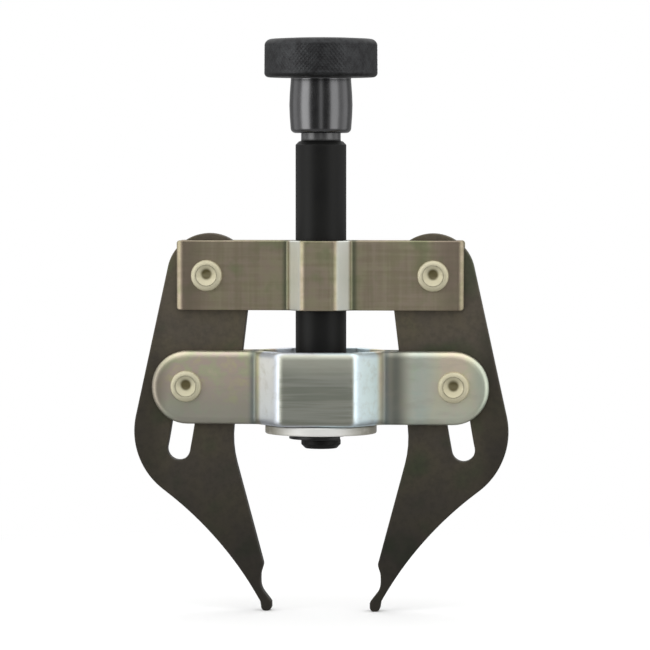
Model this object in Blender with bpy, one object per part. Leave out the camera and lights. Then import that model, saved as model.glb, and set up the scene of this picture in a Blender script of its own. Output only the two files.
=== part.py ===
"""Chain puller: two hooked arms that a thumb screw draws together.

The tool stands upright: the screw runs along +Z with its knob on top, the front faces -Y,
and the origin is on the screw's axis, level with the tips of the hooks. Two pairs of bent
straps carry the arms between them. The upper pair holds the arms' pivots and is tapped for
the screw. The lower pair hangs on the screw's end, and its rivets slide in the arms' slots,
so that turning the screw down swings the hooks together.
"""

from math import atan2, cos, hypot, pi, radians, sin, tan

import bmesh
import bpy

MM = 0.001

# Arms: flat plates between the straps
ARM_THICKNESS = 3.0 * MM
PIVOT_X = 22.3 * MM
PIVOT_Z = 66.4 * MM
PIVOT_HOLE_RADIUS = 2.3 * MM
HEAD_X = 22.08 * MM
HEAD_RADIUS = 8.37 * MM
OUTER_LEAN = radians(12.3)
INNER_LEAN = radians(6.7)
ELBOW = (38.66 * MM, 29.71 * MM)
ELBOW_RADIUS = 14.5 * MM
SHOULDER = (29.3 * MM, 22.4 * MM)
BACK_HOLLOW = 1.3 * MM
KNEE = (17.6 * MM, 33.0 * MM)
KNEE_RADIUS = 20.0 * MM
HEEL = (11.25 * MM, 9.3 * MM)
SEAT_X = 11.85 * MM
SEAT_TOP_Z = 7.4 * MM
SEAT_LOW_Z = 4.7 * MM
SEAT_RADIUS = 2.0 * MM
TIP_INNER_X = 9.7 * MM
TIP_OUTER_X = 11.7 * MM
TIP_NECK_Z = 1.9 * MM
TIP_RADIUS = 0.9 * MM

# Slots: each holds a lower bush, and turns its arm in proportion to the travel
LOWER_RIVET_X = 26.35 * MM
LOWER_RIVET_Z = 44.6 * MM
SLOT_RADIUS = 2.3 * MM
TRAVEL_UP = 4.2 * MM
TRAVEL_DOWN = 12.75 * MM
CLOSING_PER_METRE = radians(3.0) / TRAVEL_DOWN
SLOT_STATIONS = 8

# Straps: the inner faces of each pair stand this far either side of the middle plane
STRAP_INNER_Y = 1.8 * MM
UPPER_THICKNESS = 1.5 * MM
UPPER_LOW_Z = 59.6 * MM
UPPER_HIGH_Z = 73.3 * MM
UPPER_HALF_LENGTH = 28.3 * MM
UPPER_HUMP_BASE = 6.4 * MM
UPPER_HUMP_FACE = 3.3 * MM
UPPER_HUMP_Y = 6.85 * MM
LOWER_THICKNESS = 2.0 * MM
LOWER_LOW_Z = 37.15 * MM
LOWER_HIGH_Z = 51.6 * MM
LOWER_HALF_LENGTH = 33.25 * MM
LOWER_HUMP_BASE = 12.8 * MM
LOWER_HUMP_FACE = 7.6 * MM
LOWER_HUMP_Y = 11.3 * MM
BEND_RADIUS = 0.8 * MM
STRAP_HOLE_RADIUS = 1.75 * MM

# Rivets and the spacer bushes on them
SHANK_RADIUS = 1.5 * MM
RIVET_HEAD_RADIUS = 3.1 * MM
RIVET_HEAD_HEIGHT = 0.9 * MM
RIVET_DIMPLE_RADIUS = 0.9 * MM
RIVET_DIMPLE_DEPTH = 0.7 * MM
REAR_HEAD_RADIUS = 3.0 * MM
REAR_HEAD_HEIGHT = 1.2 * MM
REAR_HEAD_RIM = 0.2 * MM
RIVET_EDGE = 0.25 * MM
HEAD_GAP = 0.1 * MM
BUSH_RADIUS = 2.1 * MM
BUSH_BORE_RADIUS = 1.7 * MM
BUSH_LENGTH = 3.3 * MM

# Screw: a fine metric 10 thread on top, a plain stub with a clip groove below
SCREW_RADIUS = 5.0 * MM
SHOULDER_Z = 49.7 * MM
THREAD_TOP_Z = 92.8 * MM
THREAD_CHAMFER = 0.7 * MM
NECK_RADIUS = 3.9 * MM
NECK_TOP_Z = 103.3 * MM
STUB_RADIUS = 3.9 * MM
STUB_LOW_Z = 32.3 * MM
STUB_CHAMFER = 0.8 * MM
GROOVE_RADIUS = 3.3 * MM
GROOVE_LOW_Z = 34.0 * MM
GROOVE_HIGH_Z = 35.2 * MM

# Knob: a knurled disc on a barrel-shaped collar, bored to take the screw's neck
KNOB_TOP_Z = 113.1 * MM
DISC_RADIUS = 11.16 * MM
DISC_LOW_Z = 105.35 * MM
DISC_EDGE = 1.0 * MM
COLLAR_LOW_Z = 94.4 * MM
COLLAR_END_RADIUS = 5.9 * MM
COLLAR_MIDDLE_RADIUS = 6.3 * MM
COLLAR_CHAMFER = 0.6 * MM
KNOB_BORE_RADIUS = 4.1 * MM
KNOB_BORE_TOP_Z = 103.6 * MM

# What holds the screw's stub in the lower crossbar
BLOCK_GAP = 0.25 * MM
BLOCK_LOW_Z = 37.4 * MM
BLOCK_HIGH_Z = 49.4 * MM
BLOCK_BORE_RADIUS = 4.15 * MM
BLOCK_SIDE_X = 11.9 * MM
WASHER_RADIUS = 11.0 * MM
WASHER_BORE_RADIUS = 4.2 * MM
WASHER_LOW_Z = 35.3 * MM
WASHER_HIGH_Z = 37.0 * MM
CLIP_LOW_Z = 34.2 * MM
CLIP_HIGH_Z = 35.0 * MM
CLIP_RADIUS = 6.3 * MM
CLIP_SEAT_RADIUS = 3.5 * MM
CLIP_RELIEF_RADIUS = 4.6 * MM
CLIP_PRONG_ANGLE = radians(32)
CLIP_MOUTH_ANGLE = radians(48)

ROUND_SIDES = 40
SMALL_SIDES = 20
ARC_STEP = radians(10)
EDGE_STEP = radians(30)


def clear_scene():
    for old in list(bpy.data.objects):
        bpy.data.objects.remove(old, do_unlink=True)


def metal(name, colour, roughness, metallic):
    made = bpy.data.materials.new(name)
    made.use_nodes = True
    shader = made.node_tree.nodes["Principled BSDF"]
    shader.inputs["Base Color"].default_value = (*colour, 1.0)
    shader.inputs["Roughness"].default_value = roughness
    shader.inputs["Metallic"].default_value = metallic
    return made


def add_object(name, bm, material, smooth=True):
    """Turn a bmesh into a named object at the world's origin."""
    bmesh.ops.recalc_face_normals(bm, faces=bm.faces)
    mesh = bpy.data.meshes.new(name)
    bm.to_mesh(mesh)
    bm.free()
    if smooth:
        mesh.shade_smooth()
        mesh.set_sharp_from_angle(angle=radians(35))
    made = bpy.data.objects.new(name, mesh)
    bpy.context.scene.collection.objects.link(made)
    if material:
        mesh.materials.append(material)
    return made


# --- outlines -----------------------------------------------------------------------------

def arc(centre, radius, start, end, step=ARC_STEP):
    """Points along an arc, both ends included."""
    steps = max(2, round(abs(end - start) / step))
    return [
        (centre[0] + radius * cos(start + (end - start) * i / steps),
         centre[1] + radius * sin(start + (end - start) * i / steps))
        for i in range(steps + 1)
    ]


def hollow_arc(start, end, depth):
    """Points from start to end on an arc that bows to the left of that line by depth."""
    along = (end[0] - start[0], end[1] - start[1])
    chord = hypot(*along)
    radius = (chord**2 / 4 + depth**2) / (2 * depth)
    left = (-along[1] / chord, along[0] / chord)
    middle = ((start[0] + end[0]) / 2, (start[1] + end[1]) / 2)
    centre = (middle[0] - left[0] * (radius - depth), middle[1] - left[1] * (radius - depth))
    first = atan2(start[1] - centre[1], start[0] - centre[0])
    last = atan2(end[1] - centre[1], end[0] - centre[0])
    steps = 9
    return [
        (centre[0] + radius * cos(first + (last - first) * i / steps),
         centre[1] + radius * sin(first + (last - first) * i / steps))
        for i in range(steps + 1)
    ]


def rounded(before, corner, after, radius):
    """The arc that rounds a corner between its two neighbours."""
    back = (before[0] - corner[0], before[1] - corner[1])
    ahead = (after[0] - corner[0], after[1] - corner[1])
    back = (back[0] / hypot(*back), back[1] / hypot(*back))
    ahead = (ahead[0] / hypot(*ahead), ahead[1] / hypot(*ahead))
    turn = pi - abs(atan2(back[0] * ahead[1] - back[1] * ahead[0],
                          back[0] * ahead[0] + back[1] * ahead[1]))
    reach = radius * tan(turn / 2)
    first = (corner[0] + back[0] * reach, corner[1] + back[1] * reach)
    last = (corner[0] + ahead[0] * reach, corner[1] + ahead[1] * reach)
    middle = (back[0] + ahead[0], back[1] + ahead[1])
    distance = radius / cos(turn / 2)
    centre = (corner[0] + middle[0] / hypot(*middle) * distance,
              corner[1] + middle[1] / hypot(*middle) * distance)
    start = atan2(first[1] - centre[1], first[0] - centre[0])
    end = atan2(last[1] - centre[1], last[0] - centre[0])
    sweep = (end - start + pi) % (2 * pi) - pi
    return arc(centre, radius, start, start + sweep)


def rounded_outline(corners):
    """A closed outline from (point, radius) corners, with a radius of 0 left sharp."""
    outline = []
    for i, (corner, radius) in enumerate(corners):
        before, after = corners[i - 1][0], corners[(i + 1) % len(corners)][0]
        outline += rounded(before, corner, after, radius) if radius else [corner]
    return outline


def circle(x, z, radius, sides):
    return [(x + radius * cos(2 * pi * i / sides), z + radius * sin(2 * pi * i / sides))
            for i in range(sides)]


# --- solids -------------------------------------------------------------------------------

def plate(name, outline, low, high, material=None, upright=True):
    """An outline given thickness: in X and Z along Y if upright, else in X and Y along Z."""
    bm = bmesh.new()
    if upright:
        corners = [bm.verts.new((x, low, z)) for x, z in outline]
        through = (0, high - low, 0)
    else:
        corners = [bm.verts.new((x, y, low)) for x, y in outline]
        through = (0, 0, high - low)
    face = bm.faces.new(corners)
    grown = bmesh.ops.extrude_face_region(bm, geom=[face])["geom"]
    moved = [item for item in grown if isinstance(item, bmesh.types.BMVert)]
    bmesh.ops.translate(bm, verts=moved, vec=through)
    return add_object(name, bm, material)


def turned(name, profile, material, sides=ROUND_SIDES, closed=False):
    """A profile of (radius, height) turned about Z. A closed profile makes a ring."""
    bm = bmesh.new()
    points = [bm.verts.new((radius, 0, height)) for radius, height in profile]
    pairs = list(zip(points, points[1:]))
    if closed:
        pairs.append((points[-1], points[0]))
    edges = [bm.edges.new(pair) for pair in pairs]
    bmesh.ops.spin(bm, geom=points + edges, cent=(0, 0, 0), axis=(0, 0, 1),
                   angle=2 * pi, steps=sides, use_merge=True)
    bmesh.ops.remove_doubles(bm, verts=bm.verts, dist=0.001 * MM)
    return add_object(name, bm, material)


def cut(solid, cutter, operation="DIFFERENCE"):
    """Cut a solid with another object, which is kept as a hidden guide."""
    cutter.hide_render = True
    cutter.display_type = "WIRE"
    step = solid.modifiers.new(cutter.name, "BOOLEAN")
    step.operation = operation
    step.solver = "EXACT"
    step.object = cutter


def drill(solid, x, z, radius, half_depth):
    """A round hole through a solid along Y."""
    hole = plate(f"{solid.name}.hole", circle(x, z, radius, SMALL_SIDES), -half_depth, half_depth)
    cut(solid, hole)


# --- arms ---------------------------------------------------------------------------------

def arm_outline():
    """The right arm from its round head down the inner edge to the hook, and back outside."""
    head = arc((HEAD_X, PIVOT_Z), HEAD_RADIUS, OUTER_LEAN, pi + INNER_LEAN)
    inner = rounded(head[-1], KNEE, HEEL, KNEE_RADIUS)
    hook = [
        (KNEE, 0),
        (HEEL, 0.8 * MM),
        ((SEAT_X, SEAT_TOP_Z), SEAT_RADIUS),
        ((SEAT_X, SEAT_LOW_Z), SEAT_RADIUS),
        ((TIP_INNER_X, TIP_NECK_Z), 0.5 * MM),
        ((TIP_INNER_X, 0.0), TIP_RADIUS),
        ((TIP_OUTER_X, 0.0), TIP_RADIUS),
        ((TIP_OUTER_X + 0.3 * MM, TIP_NECK_Z), 0),
    ]
    hook = rounded_outline(hook)[1:]
    back = hollow_arc(hook[-1], SHOULDER, BACK_HOLLOW)[1:]
    outer = rounded(SHOULDER, ELBOW, head[0], ELBOW_RADIUS)
    return head + inner + hook + back + outer


def slot_outline():
    """The path of the lower bush in the right arm, widened to the slot."""
    offset_x = LOWER_RIVET_X - PIVOT_X
    path = []
    for i in range(SLOT_STATIONS + 1):
        travel = -TRAVEL_UP + (TRAVEL_DOWN + TRAVEL_UP) * i / SLOT_STATIONS
        drop = PIVOT_Z - LOWER_RIVET_Z + travel
        reach = hypot(offset_x, drop)
        swing = atan2(offset_x, drop) + CLOSING_PER_METRE * travel
        path.append((PIVOT_X + reach * sin(swing), PIVOT_Z - reach * cos(swing)))
    heading = [
        atan2(path[min(i + 1, SLOT_STATIONS)][1] - path[max(i - 1, 0)][1],
              path[min(i + 1, SLOT_STATIONS)][0] - path[max(i - 1, 0)][0])
        for i in range(SLOT_STATIONS + 1)
    ]
    sides = []
    for side in (1, -1):
        sides.append([
            (x + SLOT_RADIUS * cos(angle + side * pi / 2),
             z + SLOT_RADIUS * sin(angle + side * pi / 2))
            for (x, z), angle in zip(path, heading)
        ])
    bottom = arc(path[-1], SLOT_RADIUS, heading[-1] + pi / 2, heading[-1] - pi / 2)
    top = arc(path[0], SLOT_RADIUS, heading[0] - pi / 2, heading[0] - 3 * pi / 2)
    return sides[0][:-1] + bottom + sides[1][-2:0:-1] + top[:-1]


def mirrored(outline, side):
    """The right arm's outline, or the left one's: still anticlockwise."""
    return outline if side > 0 else [(-x, z) for x, z in reversed(outline)]


def make_arm(name, side, steel):
    half = ARM_THICKNESS / 2
    arm = plate(name, mirrored(arm_outline(), side), -half, half, steel)
    slot = plate(f"{name}.slot", mirrored(slot_outline(), side), -2 * half, 2 * half)
    cut(arm, slot)
    drill(arm, side * PIVOT_X, PIVOT_Z, PIVOT_HOLE_RADIUS, 2 * half)
    for piece in (arm, slot, bpy.data.objects[f"{name}.hole"]):
        set_origin(piece, (side * PIVOT_X, 0, PIVOT_Z))
    return arm


def set_origin(piece, place):
    """Move an object's origin to its joint's axis and leave its shape where it is."""
    for vertex in piece.data.vertices:
        vertex.co.x -= place[0]
        vertex.co.y -= place[1]
        vertex.co.z -= place[2]
    piece.location = place


# --- straps -------------------------------------------------------------------------------

def offset_corners(corners, distance):
    """The corners of a line that runs beside another, on its right."""
    moved = []
    for i, (x, y) in enumerate(corners):
        ahead = corners[min(i + 1, len(corners) - 1)]
        here = corners[min(i, len(corners) - 2)]
        behind = corners[max(i - 1, 0)]
        next_one = corners[max(i, 1)]
        out = atan2(ahead[1] - here[1], ahead[0] - here[0])
        into = atan2(next_one[1] - behind[1], next_one[0] - behind[0])
        middle = (out + into) / 2 - pi / 2
        reach = distance / cos((out - into) / 2)
        moved.append((x + reach * cos(middle), y + reach * sin(middle)))
    return moved


def bent_section(half_length, base, face, hump_y, thickness):
    """A strap seen from above: two flanges and a half-octagon hump, one even thickness."""
    flange_y = STRAP_INNER_Y + thickness
    outer = [(-half_length, flange_y), (-base, flange_y), (-face, hump_y),
             (face, hump_y), (base, flange_y), (half_length, flange_y)]
    inner = offset_corners(outer, thickness)
    small, large = BEND_RADIUS, BEND_RADIUS + thickness
    outer_radii = [0, small, large, large, small, 0]
    inner_radii = [0, large, small, small, large, 0]
    section = []
    for line, radii in ((outer, outer_radii), (inner[::-1], inner_radii[::-1])):
        section.append(line[0])
        for i in range(1, len(line) - 1):
            section += rounded(line[i - 1], line[i], line[i + 1], radii[i])
        section.append(line[-1])
    return section


def make_strap(name, side, section, low_z, high_z, rivet_x, rivet_z, steel):
    """One strap: side is -1 in front and 1 behind. The rivet holes go through the flanges."""
    outline = [(x, side * y) for x, y in section]
    strap = plate(name, outline, low_z, high_z, steel, upright=False)
    for x in (-rivet_x, rivet_x):
        drill(strap, x, rivet_z, STRAP_HOLE_RADIUS, STRAP_INNER_Y + 2 * LOWER_THICKNESS)
    return strap


def round_ends(strap):
    """Trim the strap's ends to half circles, as wide as the strap is high."""
    radius = (LOWER_HIGH_Z - LOWER_LOW_Z) / 2
    middle_z = (LOWER_HIGH_Z + LOWER_LOW_Z) / 2
    centre_x = LOWER_HALF_LENGTH - radius
    outline = (arc((centre_x, middle_z), radius, -pi / 2, pi / 2)
               + arc((-centre_x, middle_z), radius, pi / 2, 3 * pi / 2))
    cut(strap, plate(f"{strap.name}.ends", outline, -20 * MM, 20 * MM), "INTERSECT")


# --- rivets, bushes and the pieces on the screw -------------------------------------------

def make_rivet(name, x, z, thickness, material):
    """A rivet along Y: a rolled ring head with a dimple in front, a low dome behind."""
    face = STRAP_INNER_Y + thickness + HEAD_GAP
    front, rear = face, -face
    top = front + RIVET_HEAD_HEIGHT
    profile = [
        (0.0, top - RIVET_DIMPLE_DEPTH),
        (RIVET_DIMPLE_RADIUS, top - RIVET_DIMPLE_DEPTH),
        (RIVET_DIMPLE_RADIUS + RIVET_EDGE, top),
        (RIVET_HEAD_RADIUS - RIVET_EDGE, top),
        (RIVET_HEAD_RADIUS, top - RIVET_EDGE),
        (RIVET_HEAD_RADIUS, front),
        (SHANK_RADIUS, front),
        (SHANK_RADIUS, rear),
        (REAR_HEAD_RADIUS, rear),
    ]
    for i in range(3):
        angle = EDGE_STEP * i
        profile.append((REAR_HEAD_RADIUS * cos(angle),
                        rear - REAR_HEAD_RIM - (REAR_HEAD_HEIGHT - REAR_HEAD_RIM) * sin(angle)))
    profile.append((0.0, rear - REAR_HEAD_HEIGHT))
    rivet = turned(name, profile, material, SMALL_SIDES)
    rivet.rotation_euler = (pi / 2, 0, 0)
    rivet.location = (x, 0, z)
    return rivet


def make_bush(name, x, z, material):
    half = BUSH_LENGTH / 2
    profile = [(BUSH_RADIUS, half), (BUSH_RADIUS, -half),
               (BUSH_BORE_RADIUS, -half), (BUSH_BORE_RADIUS, half)]
    bush = turned(name, profile, material, SMALL_SIDES, closed=True)
    bush.rotation_euler = (pi / 2, 0, 0)
    bush.location = (x, 0, z)
    return bush


def make_screw(steel):
    profile = [
        (0.0, NECK_TOP_Z),
        (NECK_RADIUS, NECK_TOP_Z),
        (NECK_RADIUS, THREAD_TOP_Z),
        (SCREW_RADIUS - THREAD_CHAMFER, THREAD_TOP_Z),
        (SCREW_RADIUS, THREAD_TOP_Z - THREAD_CHAMFER),
        (SCREW_RADIUS, SHOULDER_Z),
        (STUB_RADIUS, SHOULDER_Z),
        (STUB_RADIUS, GROOVE_HIGH_Z),
        (GROOVE_RADIUS, GROOVE_HIGH_Z),
        (GROOVE_RADIUS, GROOVE_LOW_Z),
        (STUB_RADIUS, GROOVE_LOW_Z),
        (STUB_RADIUS, STUB_LOW_Z + STUB_CHAMFER),
        (STUB_RADIUS - STUB_CHAMFER, STUB_LOW_Z),
        (0.0, STUB_LOW_Z),
    ]
    return turned("screw", profile, steel)


def make_knob(steel):
    edge = arc((DISC_RADIUS - DISC_EDGE, KNOB_TOP_Z - DISC_EDGE), DISC_EDGE, pi / 2, 0,
               EDGE_STEP)
    underside = arc((DISC_RADIUS - DISC_EDGE / 2, DISC_LOW_Z + DISC_EDGE / 2),
                    DISC_EDGE / 2, 0, -pi / 2, EDGE_STEP)
    collar_z = (DISC_LOW_Z + COLLAR_LOW_Z) / 2
    profile = [(0.0, KNOB_TOP_Z)] + edge + underside + [
        (COLLAR_END_RADIUS + DISC_EDGE, DISC_LOW_Z),
        (COLLAR_END_RADIUS + DISC_EDGE / 4, DISC_LOW_Z - DISC_EDGE / 4),
        (COLLAR_END_RADIUS, DISC_LOW_Z - DISC_EDGE),
        (COLLAR_MIDDLE_RADIUS, collar_z + 2 * MM),
        (COLLAR_MIDDLE_RADIUS, collar_z - 2 * MM),
        (COLLAR_END_RADIUS, COLLAR_LOW_Z + COLLAR_CHAMFER),
        (COLLAR_END_RADIUS - COLLAR_CHAMFER, COLLAR_LOW_Z),
        (KNOB_BORE_RADIUS, COLLAR_LOW_Z),
        (KNOB_BORE_RADIUS, KNOB_BORE_TOP_Z),
        (0.0, KNOB_BORE_TOP_Z),
    ]
    return turned("knob", profile, steel)


def make_block(steel):
    """The block that fills the lower humps and takes the screw's shoulder."""
    lean = atan2(LOWER_HUMP_Y - STRAP_INNER_Y - LOWER_THICKNESS,
                 LOWER_HUMP_BASE - LOWER_HUMP_FACE)
    reach = (LOWER_HUMP_BASE * sin(lean) + (STRAP_INNER_Y + LOWER_THICKNESS) * cos(lean)
             - LOWER_THICKNESS - BLOCK_GAP)
    half_depth = LOWER_HUMP_Y - LOWER_THICKNESS - BLOCK_GAP
    side_y = (reach - BLOCK_SIDE_X * sin(lean)) / cos(lean)
    face_x = (reach - half_depth * cos(lean)) / sin(lean)
    quarter = [(BLOCK_SIDE_X, side_y), (face_x, half_depth)]
    right = [(x, -y) for x, y in reversed(quarter)] + quarter
    outline = right + [(-x, -y) for x, y in right]
    block = plate("swivel_block", outline, BLOCK_LOW_Z, BLOCK_HIGH_Z, steel, upright=False)
    bore = plate("swivel_block.bore", circle(0, 0, BLOCK_BORE_RADIUS, ROUND_SIDES),
                 BLOCK_LOW_Z - MM, BLOCK_HIGH_Z + MM, upright=False)
    cut(block, bore)


def make_washer(steel):
    profile = [(WASHER_RADIUS, WASHER_HIGH_Z), (WASHER_RADIUS, WASHER_LOW_Z),
               (WASHER_BORE_RADIUS, WASHER_LOW_Z), (WASHER_BORE_RADIUS, WASHER_HIGH_Z)]
    return turned("thrust_washer", profile, steel, closed=True)


def make_clip(steel):
    """An E-shaped clip, pushed on from the left: its mouth opens to the right."""
    mouth, prong = CLIP_MOUTH_ANGLE, CLIP_PRONG_ANGLE
    outline = arc((0, 0), CLIP_RADIUS, mouth, 2 * pi - mouth)
    for side in (-1, 1):
        lower = [
            (CLIP_RELIEF_RADIUS * cos(mouth + prong), CLIP_RELIEF_RADIUS * sin(mouth + prong)),
            (CLIP_SEAT_RADIUS * cos(mouth + prong), CLIP_SEAT_RADIUS * sin(mouth + prong)),
        ]
        inner = [(CLIP_SEAT_RADIUS * cos(mouth), CLIP_SEAT_RADIUS * sin(mouth))]
        points = inner + arc((0, 0), CLIP_SEAT_RADIUS, mouth, mouth + prong)[1:]
        points += [lower[0]]
        points = points if side < 0 else points[::-1]
        outline += [(x, side * y) for x, y in points]
        if side < 0:
            outline += arc((0, 0), CLIP_RELIEF_RADIUS, 2 * pi - mouth - prong,
                           mouth + prong)[1:-1]
    return plate("retaining_clip", outline, CLIP_LOW_Z, CLIP_HIGH_Z, steel, upright=False)


def build():
    clear_scene()
    blackened = metal("blackened_steel", (0.050, 0.042, 0.034), 0.45, 0.7)
    brushed = metal("brushed_steel", (0.36, 0.34, 0.31), 0.38, 1.0)
    zinc = metal("zinc_plated_steel", (0.62, 0.62, 0.55), 0.30, 1.0)
    rivet_zinc = metal("yellow_zinc_steel", (0.72, 0.68, 0.55), 0.35, 0.9)
    screw_black = metal("black_screw_steel", (0.012, 0.012, 0.013), 0.40, 0.6)
    knob_black = metal("black_knob_steel", (0.05, 0.052, 0.056), 0.35, 0.7)

    for side, word in ((-1, "left"), (1, "right")):
        make_arm(f"{word}_arm", side, blackened)

    upper = bent_section(UPPER_HALF_LENGTH, UPPER_HUMP_BASE, UPPER_HUMP_FACE,
                         UPPER_HUMP_Y, UPPER_THICKNESS)
    lower = bent_section(LOWER_HALF_LENGTH, LOWER_HUMP_BASE, LOWER_HUMP_FACE,
                         LOWER_HUMP_Y, LOWER_THICKNESS)
    for side, word in ((-1, "front"), (1, "rear")):
        make_strap(f"upper_{word}_strap", side, upper, UPPER_LOW_Z, UPPER_HIGH_Z,
                   PIVOT_X, PIVOT_Z, brushed)
        strap = make_strap(f"lower_{word}_strap", side, lower, LOWER_LOW_Z, LOWER_HIGH_Z,
                           LOWER_RIVET_X, LOWER_RIVET_Z, zinc)
        round_ends(strap)

    places = (("upper", PIVOT_X, PIVOT_Z, UPPER_THICKNESS),
              ("lower", LOWER_RIVET_X, LOWER_RIVET_Z, LOWER_THICKNESS))
    for level, x, z, thickness in places:
        for side, word in ((-1, "left"), (1, "right")):
            make_rivet(f"{level}_{word}_rivet", side * x, z, thickness, rivet_zinc)
            make_bush(f"{level}_{word}_bush", side * x, z, screw_black)

    make_screw(screw_black)
    make_knob(knob_black)
    make_block(screw_black)
    make_washer(zinc)
    make_clip(screw_black)


build()
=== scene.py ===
"""Chain puller: two slotted hook arms between bent steel straps, closed by a thumb screw.

The pieces are made in the order in which the tool is put together, each in the place
that the CAD frame gives it. Lengths are in metres.
"""
from math import atan2, ceil, cos, pi, radians, sin, tan, tau

import bmesh
import bpy
from mathutils import Matrix, Vector


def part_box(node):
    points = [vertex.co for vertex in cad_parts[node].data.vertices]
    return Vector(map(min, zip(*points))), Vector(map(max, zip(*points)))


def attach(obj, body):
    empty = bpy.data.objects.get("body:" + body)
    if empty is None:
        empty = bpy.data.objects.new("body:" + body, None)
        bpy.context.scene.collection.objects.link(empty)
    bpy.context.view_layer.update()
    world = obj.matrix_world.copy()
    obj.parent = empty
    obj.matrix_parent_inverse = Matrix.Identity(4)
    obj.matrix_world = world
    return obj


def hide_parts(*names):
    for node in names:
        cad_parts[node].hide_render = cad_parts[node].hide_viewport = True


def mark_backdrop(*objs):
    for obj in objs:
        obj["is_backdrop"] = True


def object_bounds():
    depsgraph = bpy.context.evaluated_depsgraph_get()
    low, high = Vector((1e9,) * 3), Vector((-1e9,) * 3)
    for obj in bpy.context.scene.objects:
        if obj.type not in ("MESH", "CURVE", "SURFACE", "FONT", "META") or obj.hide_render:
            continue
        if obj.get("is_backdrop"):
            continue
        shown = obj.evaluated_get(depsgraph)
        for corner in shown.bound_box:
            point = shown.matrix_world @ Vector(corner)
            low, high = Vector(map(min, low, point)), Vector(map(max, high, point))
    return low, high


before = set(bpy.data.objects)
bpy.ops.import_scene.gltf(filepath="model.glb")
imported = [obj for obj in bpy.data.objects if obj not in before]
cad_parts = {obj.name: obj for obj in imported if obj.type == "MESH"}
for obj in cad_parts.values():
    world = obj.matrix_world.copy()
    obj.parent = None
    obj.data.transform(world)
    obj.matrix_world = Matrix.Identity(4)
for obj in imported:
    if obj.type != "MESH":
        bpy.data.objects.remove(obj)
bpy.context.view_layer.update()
MM = 0.001


# --- Hook arms ----------------------------------------------------------------------------
# Two flat steel plates, blanked and tumbled, with a round head, a slot and a small hooked
# finger. They are hardened and oil-blackened, which leaves cloudy green and brown patches.

class Link:
    """What a node puts out. Sums and products of links add their own Math nodes."""

    def __init__(self, graph, socket):
        self.graph = graph
        self.socket = socket

    def __add__(self, other):
        return self.graph.number("ADD", self, other)

    def __radd__(self, other):
        return self.graph.number("ADD", other, self)

    def __sub__(self, other):
        return self.graph.number("SUBTRACT", self, other)

    def __rsub__(self, other):
        return self.graph.number("SUBTRACT", other, self)

    def __mul__(self, other):
        return self.graph.number("MULTIPLY", self, other)

    def __rmul__(self, other):
        return self.graph.number("MULTIPLY", other, self)

    def __truediv__(self, other):
        return self.graph.number("DIVIDE", self, other)

    def __rtruediv__(self, other):
        return self.graph.number("DIVIDE", other, self)

    def __pow__(self, other):
        return self.graph.number("POWER", self, other)

    def __abs__(self):
        return self.graph.number("ABSOLUTE", self)


class Graph:
    """A node tree that grows by one node at a time."""

    def __init__(self, tree):
        self.tree = tree

    def node(self, kind, settings=None, inputs=None, output=0):
        """Add a node: its settings first, then its inputs. One of its outputs comes back."""
        made = self.tree.nodes.new(kind)
        for name, value in (settings or {}).items():
            if name == "stops":
                ramp = made.color_ramp.elements
                while len(ramp) > 1:
                    ramp.remove(ramp[-1])
                ramp[0].position, ramp[0].color = value[0]
                for position, colour in value[1:]:
                    ramp.new(position).color = colour
            else:
                setattr(made, name, value)
        for name, value in (inputs or {}).items():
            if isinstance(value, Link):
                self.tree.links.new(value.socket, made.inputs[name])
            else:
                made.inputs[name].default_value = value
        return Link(self, made.outputs[output]) if len(made.outputs) else made

    def also(self, link, output):
        """Another output of the node that a link comes from."""
        return Link(self, link.socket.node.outputs[output])

    def number(self, operation, first, second=0.0):
        """Numbers go through a Math node."""
        return self.node("ShaderNodeMath", {"operation": operation}, {0: first, 1: second})

    def axes(self, place):
        """The X, Y and Z of a place."""
        x = self.node("ShaderNodeSeparateXYZ", None, {0: place}, "X")
        return x, self.also(x, "Y"), self.also(x, "Z")

    def mix(self, factor, first, second, blend="MIX"):
        """Colours go through a Mix node."""
        settings = {"data_type": "RGBA", "blend_type": blend}
        return self.node("ShaderNodeMix", settings, {0: factor, 6: first, 7: second}, 2)

    def vector(self, operation, first, second=(0, 0, 0), output="Vector"):
        """Vectors go through a Vector Math node."""
        settings = {"operation": operation}
        return self.node("ShaderNodeVectorMath", settings, {0: first, 1: second}, output)

    def scaled(self, vector, factor):
        """A vector made so many times as long."""
        inputs = {0: vector, "Scale": factor}
        return self.node("ShaderNodeVectorMath", {"operation": "SCALE"}, inputs)

    def between(self, value, low, high, out_low=0.0, out_high=1.0):
        """A smooth step from one number to another while a value crosses a range."""
        settings = {"interpolation_type": "SMOOTHSTEP"}
        inputs = {0: value, 1: low, 2: high, 3: out_low, 4: out_high}
        return self.node("ShaderNodeMapRange", settings, inputs)

    def near(self, value, middle, reach):
        """1 where a value is at the middle, and down to 0 at a reach either side of it."""
        return self.between(abs(value - middle), 0.0, reach, 1.0, 0.0)


def paint(red, green, blue):
    """A colour as it is seen, out of 255, as the light values that a shader needs."""
    seen = [value / 255 for value in (red, green, blue)]
    light = [v / 12.92 if v <= 0.04045 else ((v + 0.055) / 1.055) ** 2.4 for v in seen]
    return (*light, 1.0)


def new_finish(name, metallic, specular=0.5):
    """A new material: its graph, its shader and the object's own coordinates."""
    material = bpy.data.materials.new(name)
    material.use_nodes = True
    shader = material.node_tree.nodes["Principled BSDF"]
    shader.inputs["Metallic"].default_value = metallic
    shader.inputs["Specular IOR Level"].default_value = specular
    graph = Graph(material.node_tree)
    place = graph.node("ShaderNodeTexCoord", output="Object")
    return material, graph, shader, place


def feed(graph, shader, **links):
    """Connect links to the shader's inputs, by name."""
    for name, link in links.items():
        graph.tree.links.new(link.socket, shader.inputs[name.replace("_", " ")])


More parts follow.
